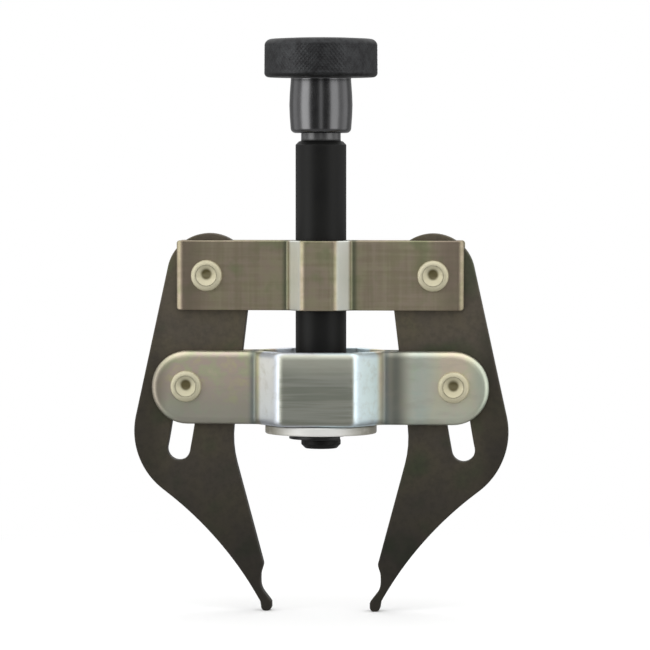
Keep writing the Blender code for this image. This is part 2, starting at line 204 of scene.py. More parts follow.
def noise(graph, place, scale, detail=2.0, rough=0.5, stretch=None, shift=(0, 0, 0)):
    """Soft noise from 0 to 1, with so many lumps a metre, maybe drawn out along an axis."""
    if stretch or any(shift):
        inputs = {"Vector": place, "Location": shift, "Scale": stretch or (1, 1, 1)}
        place = graph.node("ShaderNodeMapping", None, inputs)
    inputs = {"Vector": place, "Scale": scale, "Detail": detail, "Roughness": rough}
    return graph.node("ShaderNodeTexNoise", {"normalize": True}, inputs)


def tinted(graph, value, low, high, tints):
    """Colours from a list, evenly spaced over a range of a value."""
    stops = [(low + (high - low) * i / (len(tints) - 1), tint) for i, tint in enumerate(tints)]
    return graph.node("ShaderNodeValToRGB", {"stops": stops}, {"Fac": value})


def shaded(graph, value, stops):
    """A number that follows a list of (value, number) stops."""
    stops = [(position, (number, number, number, 1.0)) for position, number in stops]
    return graph.node("ShaderNodeValToRGB", {"stops": stops}, {"Fac": value})


def bumped(graph, height, strength=0.2, depth=0.03 * MM):
    """A normal from a height that runs from 0 to 1 over a depth in metres."""
    inputs = {"Height": height, "Strength": strength, "Distance": depth}
    return graph.node("ShaderNodeBump", None, inputs)


def add_piece(name, mesh, material, smooth=True):
    """An object at the origin, with its place in its mesh and one finish."""
    piece = bpy.data.objects.new(name, mesh)
    bpy.context.scene.collection.objects.link(piece)
    mesh.materials.clear()
    mesh.materials.append(material)
    mesh.polygons.foreach_set("use_smooth", [smooth] * len(mesh.polygons))
    mesh.polygons.foreach_set("material_index", [0] * len(mesh.polygons))
    mesh.update()
    return piece


def mesh_from(name, work):
    """Close a bmesh into a mesh with its faces turned outward."""
    bmesh.ops.recalc_face_normals(work, faces=work.faces)
    mesh = bpy.data.meshes.new(name)
    work.to_mesh(mesh)
    work.free()
    return mesh


def arc_points(centre, radius, first, last, steps):
    """Points along an arc in a plane, both ends included."""
    angles = [first + (last - first) * i / steps for i in range(steps + 1)]
    return [Vector(centre) + radius * Vector((cos(a), sin(a))) for a in angles]


def bent_line(corners, radii, step, margin=0.0):
    """Follow corners in a plane, with an arc at each inner one and maybe a point beside it."""
    points = [Vector(corners[0])]
    for before, corner, after, radius in zip(corners, corners[1:], corners[2:], radii):
        heading = atan2(corner[1] - before[1], corner[0] - before[0])
        turn = atan2(after[1] - corner[1], after[0] - corner[0]) - heading
        turn = (turn + pi) % tau - pi
        swing = radius if turn > 0 else -radius
        ahead = Vector((cos(heading), sin(heading)))
        onward = Vector((cos(heading + turn), sin(heading + turn)))
        start = Vector(corner) - ahead * radius * tan(abs(turn) / 2)
        middle = start + Vector((-ahead.y, ahead.x)) * swing
        bends = max(2, ceil(abs(turn) / step))
        beside = min(margin, radius * 0.5)
        points += [start - ahead * beside] if margin else []
        for i in range(bends + 1):
            angle = heading + turn * i / bends
            points.append(middle + Vector((sin(angle), -cos(angle))) * swing)
        points += [points[-1] + onward * beside] if margin else []
    points.append(Vector(corners[-1]))
    return points


def bowed_line(start, end, bow, steps):
    """Points between two ends on an arc that bows to the left of the line by so much."""
    along = end - start
    left = Vector((-along.y, along.x)).normalized()
    radius = (along.length ** 2 / 4 + bow ** 2) / (2 * bow)
    centre = (start + end) / 2 - left * (radius - bow)
    first = atan2(start.y - centre.y, start.x - centre.x)
    last = atan2(end.y - centre.y, end.x - centre.x)
    return arc_points(centre, radius, first, last, steps)[1:-1]


def arm_outline():
    """The right arm in X and Z: round head, inner edge, hook, hollow back and elbow."""
    head = arc_points(HEAD, HEAD_RADIUS, OUTER_LEAN, pi + INNER_LEAN, CIRCLE_STEPS)
    neck = (TIP_OUTER + TIP_TAPER, TIP_NECK)
    hook = [KNEE, HEEL, SEAT_TOP, SEAT_LOW, (TIP_INNER, TIP_NECK), (TIP_INNER, 0.0),
            (TIP_OUTER, 0.0), neck]
    inner = bent_line([head[-1], *hook], HOOK_RADII, HOOK_STEP)
    back = bowed_line(Vector(neck), Vector(SHOULDER), BACK_BOW, BACK_STEPS)
    outer = bent_line([SHOULDER, ELBOW, head[0]], [ELBOW_RADIUS], ELBOW_STEP)
    return head + inner[1:] + back + outer[:-1]


def slot_outline():
    """Where the lower bush runs in the right arm while the arm swings, clockwise."""
    offset = Vector(LOWER_RIVET) - Vector(PIVOT)
    path = []
    for i in range(SLOT_STEPS + 1):
        travel = -TRAVEL_UP + (TRAVEL_DOWN + TRAVEL_UP) * i / SLOT_STEPS
        reach = offset - Vector((0.0, travel))
        reach.rotate(Matrix.Rotation(CLOSING * travel / TRAVEL_DOWN, 2))
        path.append(Vector(PIVOT) + reach)
    down = atan2(path[1].y - path[0].y, path[1].x - path[0].x)
    left = Vector((-sin(down), cos(down))) * SLOT_RADIUS
    top = arc_points(path[0], SLOT_RADIUS, down + 1.5 * pi, down + 0.5 * pi, SLOT_STEPS)
    down = atan2(path[-1].y - path[-2].y, path[-1].x - path[-2].x)
    low = arc_points(path[-1], SLOT_RADIUS, down + 0.5 * pi, down - 0.5 * pi, SLOT_STEPS)
    right = [point - left for point in path[-2:0:-1]]
    return top + [point + left for point in path[1:-1]] + low + right


def moved_in(loop, distance):
    """A closed outline with each point moved to the left of its way round."""
    moved = []
    for before, point, after in zip(loop[-1:] + loop[:-1], loop, loop[1:] + loop[:1]):
        first, second = (point - before).normalized(), (after - point).normalized()
        across = Vector((-first.y - second.y, first.x + second.x))
        moved.append(point + across * (2 * distance / across.length_squared))
    return moved


def skin(work, rows):
    """Join each closed row of corners to the next one with a band of faces."""
    for first, second in zip(rows, rows[1:]):
        for i in range(len(first)):
            work.faces.new((first[i - 1], first[i], second[i], second[i - 1]))


def plate_mesh(name, loops, half, edge):
    """A plate in X and Z with rounded edges. The outline runs anticlockwise, holes don't."""
    rounding = [pi / 2 * i / EDGE_STEPS for i in range(EDGE_STEPS + 1)]
    rings = [(edge + SUPPORT, -half)]
    rings += [(edge * (1 - sin(a)), edge * (1 - cos(a)) - half) for a in rounding]
    rings.append((0.0, edge + SUPPORT - half))
    rings += [(inset, -depth) for inset, depth in rings[::-1]]
    work = bmesh.new()
    caps = [], []
    for loop in loops:
        rows = [[work.verts.new((point.x, depth, point.y)) for point in moved_in(loop, inset)]
                for inset, depth in rings]
        skin(work, rows)
        for cap, row in zip(caps, (rows[0], rows[-1])):
            cap += [work.edges.get((row[i - 1], row[i])) for i in range(len(row))]
    for cap in caps:
        bmesh.ops.triangle_fill(work, use_beauty=True, edges=cap)
    return mesh_from(name, work)


def blackened_arm_finish():
    """Oil-blackened plate: cloudy tints, a fine grain and a darker finger."""
    material, graph, shader, place = new_finish("blackened arm steel", metallic=0.5)
    cloud = noise(graph, place, 85.0, 2.5, 0.55, shift=(0.013, 0.0, 0.004))
    colour = tinted(graph, cloud, 0.3, 0.72, [
        paint(78, 84, 62), paint(98, 90, 78), paint(104, 96, 78), paint(86, 94, 66)])
    x, _, height = graph.axes(place)
    fine = noise(graph, place, 900.0, 3.0, 0.6)
    colour = graph.mix(graph.between(fine, 0.35, 0.75, 0.0, 0.35), colour, paint(66, 62, 54))
    depth = shaded(graph, height / ARM_HEIGHT, ARM_SHADES)
    depth = depth * graph.between(abs(x), 29 * MM, 35 * MM, 1.0, 0.65)
    colour = graph.mix(1.0, colour, depth, "MULTIPLY")
    feed(graph, shader, Base_Color=colour, Roughness=0.42 + 0.2 * cloud + 0.1 * fine,
         Normal=bumped(graph, fine))
    return material


# The right arm in X and Z. The left one is its mirror image.
PIVOT = (22.3 * MM, 66.4 * MM)
PIVOT_HOLE = 2.3 * MM
HEAD = (22.08 * MM, 66.4 * MM)
HEAD_RADIUS = 8.37 * MM
OUTER_LEAN = radians(12.3)
INNER_LEAN = radians(6.7)
ELBOW = (38.66 * MM, 29.71 * MM)
ELBOW_RADIUS = 14.5 * MM
SHOULDER = (29.3 * MM, 22.4 * MM)
BACK_BOW = 1.3 * MM
KNEE = (17.6 * MM, 33.0 * MM)
HEEL = (11.25 * MM, 9.3 * MM)
SEAT_TOP = (11.85 * MM, 7.4 * MM)
SEAT_LOW = (11.85 * MM, 4.7 * MM)
TIP_INNER = 9.7 * MM
TIP_OUTER = 11.7 * MM
TIP_NECK = 1.9 * MM
TIP_TAPER = 0.3 * MM
TIP_RADIUS = 0.9 * MM
# At the knee, the heel, the seat's two ends, the tip's neck and the tip
HOOK_RADII = [20 * MM, 1.6 * MM, 4 * MM, 3.5 * MM, 0.8 * MM, TIP_RADIUS, TIP_RADIUS]
LOWER_RIVET = (26.35 * MM, 44.6 * MM)
SLOT_RADIUS = 2.3 * MM
SLOT_STEPS = 16
TRAVEL_UP = 4.2 * MM
TRAVEL_DOWN = 12.75 * MM
CLOSING = radians(3.0)
# How finely the curves are divided
CIRCLE_STEPS = 40
BACK_STEPS = 24
HOOK_STEP = radians(7)
ELBOW_STEP = radians(3)
# How the edges are rounded, and how far inside the CAD's flat facets the outline stays
ARM_EDGE = 0.25 * MM
EDGE_STEPS = 4
SUPPORT = 0.12 * MM
INSIDE = 0.06 * MM
# How bright the plate is at shares of the arm's height
ARM_HEIGHT = 80 * MM
ARM_SHADES = [(0.08, 0.2), (0.2, 0.26), (0.36, 0.4), (0.56, 0.56), (0.68, 0.72), (0.92, 0.92)]
arm_steel = blackened_arm_finish()
arm_loops = [
    moved_in(arm_outline(), INSIDE),
    slot_outline(),
    arc_points(PIVOT, PIVOT_HOLE, tau, 0.0, CIRCLE_STEPS)[:-1],
]
for side, turn in (("left", -1), ("right", 1)):
    loops = [[Vector((turn * point.x, point.y)) for point in loop[::turn]]
             for loop in arm_loops]
    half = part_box(f"{side}_arm")[1].y
    arm = add_piece(f"{side}_hook_arm", plate_mesh("hook arm", loops, half, ARM_EDGE),
                    arm_steel)
    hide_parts(f"{side}_arm")
    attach(arm, f"{side}_arm")


# --- Upper straps -------------------------------------------------------------------------
# Two straps of bare rolled steel, cropped square and pressed to a narrow hump that takes
# the screw. The cropping rolls their ends over, and the press leaves fine drawing lines.

def running_length(line):
    """The length along a line at each of its points."""
    lengths = [0.0]
    for before, point in zip(line, line[1:]):
        lengths.append(lengths[-1] + (point - before).length)
    return lengths


def strap_blank(name, line, half_height, sizes):
    """A flat strap before bending: length along X, depth along Y, height along Z."""
    lengths = running_length(line)
    length, corner, thickness = lengths[-1], sizes["corner"], sizes["thickness"]
    arc = [pi - pi / 2 * i / CORNER_STEPS for i in range(CORNER_STEPS + 1)]
    half = [(corner + corner * cos(a), half_height - corner + corner * sin(a),
             cos(a), sin(a)) for a in arc]
    rolled, fall = sizes["rolled end"]
    stations = [rolled * i / ROLLED_STEPS for i in range(ROLLED_STEPS + 1)]
    stations += [length - s for s in stations] + lengths[1:-1]
    half += [(s, half_height, 0.0, 1.0) for s in sorted(stations)
             if corner + CLOSEST < s < length - corner - CLOSEST]
    half += [(length - corner - corner * cos(a), half_height - corner + corner * sin(a),
              -cos(a), sin(a)) for a in arc[::-1]]
    rounding = [pi / 2 * i / EDGE_STEPS for i in range(EDGE_STEPS + 1)]
    width, drop = sizes["outer edge"]
    inner = sizes["inner edge"]
    rings = [(width + SUPPORT, 0.0)]
    rings += [(width * (1 - sin(a)), drop * (1 - cos(a))) for a in rounding]
    rings += [(inner * (1 - cos(a)), thickness - inner * (1 - sin(a))) for a in rounding]
    rings.append((inner + SUPPORT, thickness))
    work = bmesh.new()
    rows = []
    for inset, depth in rings:
        top = []
        for s, h, ns, nh in half:
            s, h = s - ns * inset, h - nh * inset
            near_end = max(0.0, 1.0 - min(s, length - s) / rolled) if fall else 0.0
            top.append((s, depth + fall * near_end ** 2 * (1 - depth / thickness), h))
        low = [(s, depth, -h) for s, depth, h in top[::-1]]
        rows.append([work.verts.new(point) for point in top + low])
    skin(work, rows)
    for row in (rows[0], rows[-1]):
        for i in range(len(row) // 2 - 1):
            work.faces.new((row[i], row[i + 1], row[-2 - i], row[-1 - i]))
    return mesh_from(name, work)


def shape_tree(name, inputs):
    """A new geometry tree with named inputs, as a graph and its group input."""
    tree = bpy.data.node_groups.new(name, "GeometryNodeTree")
    for label, kind in {"Geometry": "Geometry", **inputs}.items():
        tree.interface.new_socket(label, in_out="INPUT", socket_type=f"NodeSocket{kind}")
    tree.interface.new_socket("Geometry", in_out="OUTPUT",
                              socket_type="NodeSocketGeometry")
    graph = Graph(tree)
    return graph, graph.node("NodeGroupInput")


def finish_tree(graph, start, shape):
    """End a tree: instances made real, the finish set, the result given out."""
    shape = graph.node("GeometryNodeRealizeInstances", None, {0: shape})
    inputs = {"Geometry": shape, "Material": graph.also(start, "Finish")}
    shape = graph.node("GeometryNodeSetMaterial", None, inputs)
    graph.node("NodeGroupOutput", None, {0: shape})
    return graph.tree


def kept(piece, step):
    """Keep what a modifier makes as the piece's own plain mesh, and take the modifier off."""
    bpy.context.view_layer.update()
    scene_now = bpy.context.evaluated_depsgraph_get()
    mesh = bpy.data.meshes.new_from_object(piece.evaluated_get(scene_now),
                                           depsgraph=scene_now)
    piece.modifiers.remove(step)
    piece.data = mesh
    return piece


def formed(piece, tree, values):
    """Run a tree on a piece with values for its named inputs."""
    step = piece.modifiers.new(tree.name, "NODES")
    step.node_group = tree
    for item in tree.interface.items_tree:
        if item.in_out == "INPUT" and item.name in values:
            step[item.identifier] = values[item.name]
    return kept(piece, step)


def bending_tree():
    """Bend a blank: its X runs along the path, and its depth goes in from the path."""
    inputs = {"Path": "Object", "Middle Height": "Float", "Finish": "Material"}
    graph, start = shape_tree("bend along a path", inputs)
    path = graph.node("GeometryNodeObjectInfo", None,
                      {"Object": graph.also(start, "Path")}, "Geometry")
    place = graph.node("GeometryNodeInputPosition")
    along, depth, height = graph.axes(place)
    height = height + graph.also(start, "Middle Height")
    sample = graph.node("GeometryNodeSampleCurve",
                        {"mode": "LENGTH", "use_all_curves": True},
                        {"Curves": path, "Length": along}, "Position")
    inward = graph.vector("CROSS_PRODUCT", (0, 0, 1), graph.also(sample, "Tangent"))
    raised = graph.node("ShaderNodeCombineXYZ", None, {"Z": height})
    bent = graph.vector("ADD", sample, graph.scaled(inward, depth))
    target = graph.vector("ADD", bent, raised)
    shape = graph.node("GeometryNodeSetPosition", None,
                       {"Geometry": start, "Position": target})
    return finish_tree(graph, start, shape)


def path_object(name, points):
    """A straight-sided curve through points, for a tree to read."""
    curve = bpy.data.curves.new(name, "CURVE")
    curve.dimensions = "3D"
    spline = curve.splines.new("POLY")
    spline.points.add(len(points) - 1)
    for knot, point in zip(spline.points, points):
        knot.co = (*point, 0.0, 1.0)
    path = bpy.data.objects.new(name, curve)
    bpy.context.scene.collection.objects.link(path)
    return path


def strap_pair(level, sizes, material, body):
    """The front strap and the rear one, bent from one blank. The rear is turned round."""
    low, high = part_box(f"{level}_front_strap")
    half_length, flange, hump = high.x, STRAP_GAP + sizes["thickness"], -low.y
    corners = [(-half_length, -flange), (-sizes["base"], -flange), (-sizes["face"], -hump),
               (sizes["face"], -hump), (sizes["base"], -flange), (half_length, -flange)]
    wide = BEND_RADIUS + sizes["thickness"]
    line = bent_line(corners, [BEND_RADIUS, wide, wide, BEND_RADIUS], BEND_STEP, BEND_MARGIN)
    half_height = (high.z - low.z) / 2
    for place, turn in (("front", 1), ("rear", -1)):
        name = f"{level}_{place}_bent_strap"
        strap = add_piece(name, strap_blank(name, line, half_height, sizes), material)
        path = path_object("bending path", [point * turn for point in line])
        formed(strap, bend_along_path, {"Path": path, "Finish": material,
                                        "Middle Height": (high.z + low.z) / 2})
        bpy.data.objects.remove(path)
        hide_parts(f"{level}_{place}_strap")
        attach(strap, body)


def rolled_steel_finish(base, face):
    """Bare rolled steel: fine lines across and along, a green and brown film of oil, a painted
    highlight on the hump's slanted faces and painted shade in its inner bends.
    """
    material, graph, shader, place = new_finish("rolled strap steel", metallic=0.9)
    across = noise(graph, place, 800.0, 2.0, 0.6, stretch=(1.0, 1.0, 0.05))
    along = noise(graph, place, 1000.0, 2.0, 0.6, stretch=(0.05, 1.0, 1.0))
    film = noise(graph, place, 160.0, 3.0, 0.55)
    colour = tinted(graph, film, 0.3, 0.7, [
        paint(146, 148, 116), paint(166, 158, 132), paint(166, 152, 134), paint(148, 148, 118)])
    worn = 0.5 * across + 0.5 * along
    colour = graph.mix(graph.between(worn, 0.4, 0.64, 0.0, 0.45), colour,
                       paint(128, 122, 96))
    aside = abs(graph.axes(place)[0])
    # Painted highlight: the hump's slanted faces are painted near white, as if they caught the
    # softboxes at the sides.
    slant_painted_highlight = graph.between(aside, face, face + 0.8 * MM)
    slant_painted_highlight = slant_painted_highlight * graph.between(aside, base - 0.9 * MM, base - 0.2 * MM, 1.0, 0.0)
    colour = graph.mix(slant_painted_highlight * 0.8, colour, paint(222, 226, 220))
    stained = graph.between(aside, 21 * MM, 26 * MM)
    stained = stained * graph.between(aside, 27.2 * MM, 27.8 * MM, 1.0, 0.0)
    colour = graph.mix(stained * 0.6, colour, paint(128, 114, 102))
    # Painted shade: a dark strip just outside each inner bend of the hump, where shade falls in
    # the crease.
    bend_painted_shade = graph.near(aside, base + 0.3 * MM, 1.0 * MM)
    colour = graph.mix(bend_painted_shade * 0.75, colour, paint(88, 96, 76))
    feed(graph, shader, Base_Color=colour, Roughness=0.30 + 0.16 * worn,
         Normal=bumped(graph, worn, 0.25))
    return material


STRAP_GAP = 1.8 * MM
BEND_RADIUS = 0.8 * MM
BEND_STEP = radians(7.5)
BEND_MARGIN = 0.25 * MM
CORNER_STEPS = 12
ROLLED_STEPS = 6
CLOSEST = 0.05 * MM
UPPER_BASE = 6.4 * MM
UPPER_FACE = 3.3 * MM
bend_along_path = bending_tree()
strap_pair(
    "upper",
    {"thickness": 1.5 * MM, "base": UPPER_BASE, "face": UPPER_FACE, "corner": 0.6 * MM,
     "outer edge": (0.22 * MM, 0.22 * MM), "inner edge": 0.1 * MM,
     "rolled end": (1.6 * MM, 0.6 * MM)},
    rolled_steel_finish(UPPER_BASE, UPPER_FACE), "upper_crossbar")


# --- Upper rivets and bushes --------------------------------------------------------------
# The arms turn on plain steel bushes, each held by a zinc-plated rivet. The rivet's front
# end is rolled over to a broad ring with a dimple, and its rear end is a low dome.

def turned(name, profile, sides, material, closed=False, lying=False):
    """Spin (radius, height) points about Z. A lying piece has its top turned to the front."""
    work = bmesh.new()
    rings = []
    for radius, height in profile:
        if radius == 0.0:
            rings.append([work.verts.new((0, 0, height))])
            continue
        rings.append([work.verts.new((radius * cos(tau * i / sides),
                                      radius * sin(tau * i / sides), height))
                      for i in range(sides)])
    pairs = list(zip(rings, rings[1:]))
    if closed:
        pairs.append((rings[-1], rings[0]))
    for first, second in pairs:
        for i in range(sides):
            j = (i + 1) % sides
            corners = [first[i % len(first)], first[j % len(first)],
                       second[j % len(second)], second[i % len(second)]]
            work.faces.new(list(dict.fromkeys(corners)))
    if lying:
        work.transform(Matrix.Rotation(pi / 2, 4, "X"))
    return add_piece(name, mesh_from(name, work), material)


def pair_tree():
    """Set a piece at two points, as far left as right of the middle, at one height."""
    inputs = {"Piece": "Object", "Reach": "Float", "Height": "Float", "Finish": "Material"}
    graph, start = shape_tree("pair of pieces", inputs)
    reach = graph.also(start, "Reach")
    first = graph.node("ShaderNodeCombineXYZ", None,
                       {"X": 0.0 - reach, "Z": graph.also(start, "Height")})
    step = graph.node("ShaderNodeCombineXYZ", None, {"X": 2.0 * reach})
    points = graph.node("GeometryNodeMeshLine", {"mode": "OFFSET"},
                        {"Count": 2, "Start Location": first, "Offset": step})
    piece = graph.node("GeometryNodeObjectInfo", None,
                       {"Object": graph.also(start, "Piece")}, "Geometry")
    shape = graph.node("GeometryNodeInstanceOnPoints", None,
                       {"Points": points, "Instance": piece})
    return finish_tree(graph, start, shape)


def pair_of(name, pattern, nodes, material, body):
    """Two copies of a piece in the places of two CAD nodes, as one mesh."""
    low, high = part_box(nodes[1])
    pair = add_piece(name, bpy.data.meshes.new(name), material)
    formed(pair, set_in_pairs, {"Piece": pattern, "Reach": (low.x + high.x) / 2,
                                "Height": (low.z + high.z) / 2, "Finish": material})
    bpy.data.objects.remove(pattern)
    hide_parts(*nodes)
    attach(pair, body)


def rivet_pattern(node):
    """A rivet along Y, from the rolled ring in front to the dome behind."""
    low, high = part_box(node)
    face = high.y - REAR_HEAD_HEIGHT
    top = -low.y
    corners = [
        (0.0, top - DIMPLE_DEPTH),
        (DIMPLE_RADIUS, top - DIMPLE_DEPTH),
        (HEAD_CREST - 0.45 * MM, top - 0.06 * MM),
        (HEAD_CREST, top),
        (HEAD_RADIUS - 0.12 * MM, top - 0.28 * MM),
        (HEAD_RADIUS, face),
        (SHANK_RADIUS, face),
        (SHANK_RADIUS, -face),
        (REAR_HEAD_RADIUS, -face),
        (REAR_HEAD_RADIUS, -face - REAR_HEAD_EDGE),
    ]
    profile = [tuple(point) for point in bent_line(corners, RIVET_RADII, radians(12),
                                                   0.08 * MM)]
    for i in range(1, DOME_STEPS):
        angle = pi / 2 * i / DOME_STEPS
        dome = (REAR_HEAD_HEIGHT - REAR_HEAD_EDGE) * sin(angle)
        profile.append((REAR_HEAD_RADIUS * cos(angle), -face - REAR_HEAD_EDGE - dome))
    profile.append((0.0, -face - REAR_HEAD_HEIGHT))
    return turned("rivet pattern", profile, RIVET_SIDES, rivet_zinc, lying=True)


def bush_pattern(node):
    """A plain tube along Y that keeps the arm free between the straps."""
    low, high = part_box(node)
    half, outer = (high.y - low.y) / 2, (high.x - low.x) / 2
    corners = [(BUSH_BORE, 0.0), (BUSH_BORE, half), (outer, half), (outer, -half),
               (BUSH_BORE, -half), (BUSH_BORE, -0.1 * MM)]
    profile = bent_line(corners, [BUSH_EDGE] * 4, radians(30), 0.1 * MM)
    return turned("bush pattern", profile, BUSH_SIDES, bush_steel, closed=True, lying=True)


def rivets_and_bushes(level):
    """The two rivets and two bushes of the upper or lower straps."""
    for kind, name, pattern, material, slot in (
            ("rivet", "rivets", rivet_pattern, rivet_zinc, "rivet_zinc"),
            ("bush", "bushes", bush_pattern, bush_steel, "bush_steel")):
        nodes = [f"{level}_{side}_{kind}" for side in ("left", "right")]
        pair_of(f"{level}_{name}", pattern(nodes[1]), nodes, material, f"{level}_crossbar")


def zinc_wear(graph, place):
    """The crystal grain of zinc plating, and the light rubs along it."""
    grain = noise(graph, place, 1500.0, 2.0, 0.6)
    return grain, noise(graph, place, 500.0, 3.0, 0.6, stretch=(0.25, 1.0, 1.0))


def plated_finish(name, tints, roughness, dull, metallic, painted_shade):
    """Zinc plating: faint tinted patches of its film, painted shade where a given mask puts it,
    and wear.
    """
    material, graph, shader, place = new_finish(name, metallic)
    film = noise(graph, place, 70.0, 2.0, 0.5)
    colour = tinted(graph, film, 0.3, 0.7, tints)
    # Painted shade, a dark olive, wherever the mask given for it lies.
    colour = graph.mix(painted_shade(graph, place), colour, paint(104, 96, 66))
    grain, rub = zinc_wear(graph, place)
    colour = graph.mix(graph.between(rub, 0.45, 0.75, 0.0, 0.4), colour, dull)
    feed(graph, shader, Base_Color=colour, Roughness=roughness + 0.15 * rub,
         Normal=bumped(graph, 0.6 * grain + 0.4 * rub))
    return material


def dimple_painted_shadow(graph, place):
    """How much painted shadow a rivet's dimple gets: full just above the middle of its front
    end, where the dimple's upper wall is in shade.
    """
    x, y, z = graph.axes(place)
    level = graph.between(z, 54 * MM, 55 * MM)
    middle = LOWER_RIVET[0] + (PIVOT[0] - LOWER_RIVET[0]) * level
    height = SHADOW_LIFT + LOWER_RIVET[1] + (PIVOT[1] - LOWER_RIVET[1]) * level
    across, up = abs(x) - middle, z - height
    radius = (across * across + up * up) ** 0.5
    front = graph.between(y, -1 * MM, 0.0, 1.0, 0.0)
    return graph.between(radius, 0.75 * MM, 1.35 * MM, 1.0, 0.0) * front


def machined_finish(name, colour, roughness):
    """Plain turned or milled steel with tool marks and a little oil."""
    material, graph, shader, place = new_finish(name, metallic=0.9)
    marks = noise(graph, place, 800.0, 3.0, 0.6, stretch=(0.3, 0.3, 1.0))
    shade = graph.mix(graph.between(marks, 0.4, 0.7, 0.0, 0.4), colour, paint(92, 90, 88))
    feed(graph, shader, Base_Color=shade, Roughness=roughness + 0.2 * marks,
         Normal=bumped(graph, marks))
    return material


HEAD_CREST = 2.35 * MM
HEAD_RADIUS = 3.1 * MM
DIMPLE_RADIUS = 0.8 * MM
DIMPLE_DEPTH = 0.7 * MM
SHANK_RADIUS = 1.5 * MM
REAR_HEAD_RADIUS = 3.0 * MM
REAR_HEAD_HEIGHT = 1.2 * MM
REAR_HEAD_EDGE = 0.2 * MM
# At each of the profile's corners, from the dimple to the rear head
RIVET_RADII = [0.25 * MM, 0.7 * MM, 1.0 * MM, 0.35 * MM, 0.08 * MM, 0.1 * MM, 0.1 * MM,
               0.05 * MM]
RIVET_SIDES = 56
DOME_STEPS = 7
SHADOW_LIFT = 0.3 * MM
BUSH_BORE = 1.7 * MM
BUSH_EDGE = 0.15 * MM
BUSH_SIDES = 40
set_in_pairs = pair_tree()
rivet_zinc = plated_finish("rivet zinc", [
    paint(200, 194, 164), paint(210, 204, 178), paint(198, 194, 168)], 0.54,
    paint(180, 174, 144), metallic=0.8, painted_shade=dimple_painted_shadow)
bush_steel = machined_finish("turned bush steel", paint(170, 168, 164), 0.3)
rivets_and_bushes("upper")


# --- Lower straps -------------------------------------------------------------------------
# Two thicker straps with full round ends and a heavily rolled outer edge, pressed to a deep
# wide hump. Their zinc film shows olive, pink and teal, and the hump's face is rubbed dull.

def strap_zinc_finish(base, face, hump):
    """Zinc plating with a coloured film and fine lines on the hump. Light is painted in:
    highlights on the slanted faces and the top of the face, a brighter right half, and shade
    low on the left and in the inner bends.
    """
    material, graph, shader, place = new_finish("lower strap zinc", metallic=0.92)
    x, y, height = graph.axes(place)
    depth = abs(y)
    film = noise(graph, place, 190.0, 4.0, 0.6, shift=(0.02, 0.0, 0.01))
    warm = tinted(graph, film, 0.32, 0.68, [
        paint(212, 206, 164), paint(206, 190, 178), paint(200, 202, 168), paint(218, 208, 184)])
    cool = tinted(graph, film, 0.32, 0.68, [
        paint(176, 196, 176), paint(192, 198, 190), paint(172, 194, 190)])
    # Painted light: the right half is painted brighter than the left, as if more light fell on
    # it.
    side = graph.between(x, -1 * MM, 1 * MM)
    warm = graph.mix(0.45 * side, warm, paint(250, 238, 210))
    cool = graph.mix(0.3 * side, cool, paint(226, 238, 222))
    low_half = graph.between(height, 0.037, 0.047, 0.6, 0.0)
    beside = 0.9 * graph.near(x, 19.5 * MM, 6 * MM)
    tip = 0.8 * graph.between(x, 28 * MM, 33 * MM)
    cooled = graph.number("MAXIMUM", graph.number("MAXIMUM", beside, tip), low_half)
    colour = graph.mix(cooled, warm, cool)
    # Painted shade: the left half is darker toward its bottom, as if lit from above. The left
    # end is darkened as well.
    low_left_painted_shade = graph.between(height, 0.038, 0.050, 0.45, 0.0) * (1.0 - side)
    left_end = graph.between(x, -33 * MM, -28 * MM, 0.95, 0.0)
    colour = graph.mix(graph.number("MAXIMUM", low_left_painted_shade, left_end), colour, paint(150, 142, 128))
    colour = graph.mix(0.9 * graph.near(x, 15 * MM, 3.6 * MM), colour, paint(116, 120, 114))
    colour = graph.mix(0.4 * tip, colour, paint(160, 176, 150))
    # Painted highlight: the hump's slanted faces are painted bluish white, as if they caught
    # the softboxes.
    slant_painted_highlight = graph.between(depth, 4.6 * MM, 6.0 * MM)
    colour = graph.mix(slant_painted_highlight, colour,
                       graph.mix(side, paint(224, 230, 238), paint(228, 244, 250)))
    lines = noise(graph, place, 1300.0, 2.0, 0.6, stretch=(0.04, 1.0, 1.0))
    front = graph.between(depth, hump - 0.6 * MM, hump - 0.1 * MM)
    front = front * graph.between(abs(x), face - 0.6 * MM, face + 0.2 * MM, 1.0, 0.0)
    dull_face_with_painted_top = graph.mix(graph.between(lines, 0.35, 0.65), paint(146, 150, 138),
                       paint(168, 170, 160))
    # Painted highlight: the top of the hump's rubbed face is painted lighter, as if lit from
    # above.
    dull_face_with_painted_top = graph.mix(graph.between(height, 0.0455, 0.0505), dull_face_with_painted_top, paint(196, 198, 184))
    colour = graph.mix(front, colour, dull_face_with_painted_top)
    # Painted shade: a dark strip at each inner bend of the hump, where shade falls in the
    # crease.
    bend_painted_shade = graph.near(abs(x), base + 0.3 * MM, 1.3 * MM)
    colour = graph.mix(bend_painted_shade * 0.72, colour, paint(98, 110, 114))
    grain, rub = zinc_wear(graph, place)
    colour = graph.mix(graph.between(rub, 0.45, 0.75, 0.0, 0.25), colour,
                       paint(164, 160, 146))
    feed(graph, shader, Base_Color=colour, Roughness=0.36 + 0.12 * rub + 0.16 * bend_painted_shade,
         Normal=bumped(graph, 0.5 * grain + 0.5 * rub + 0.6 * front * lines))
    return material


LOWER_BASE = 12.8 * MM
LOWER_FACE = 7.6 * MM
low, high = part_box("lower_front_strap")
strap_pair(
    "lower",
    {"thickness": 2.0 * MM, "base": LOWER_BASE, "face": LOWER_FACE,
     "corner": 0.98 * (high.z - low.z) / 2, "outer edge": (1.3 * MM, 0.85 * MM),
     "inner edge": 0.12 * MM, "rolled end": (1.0 * MM, 0.0)},
    strap_zinc_finish(LOWER_BASE, LOWER_FACE, -low.y),
    "lower_crossbar")


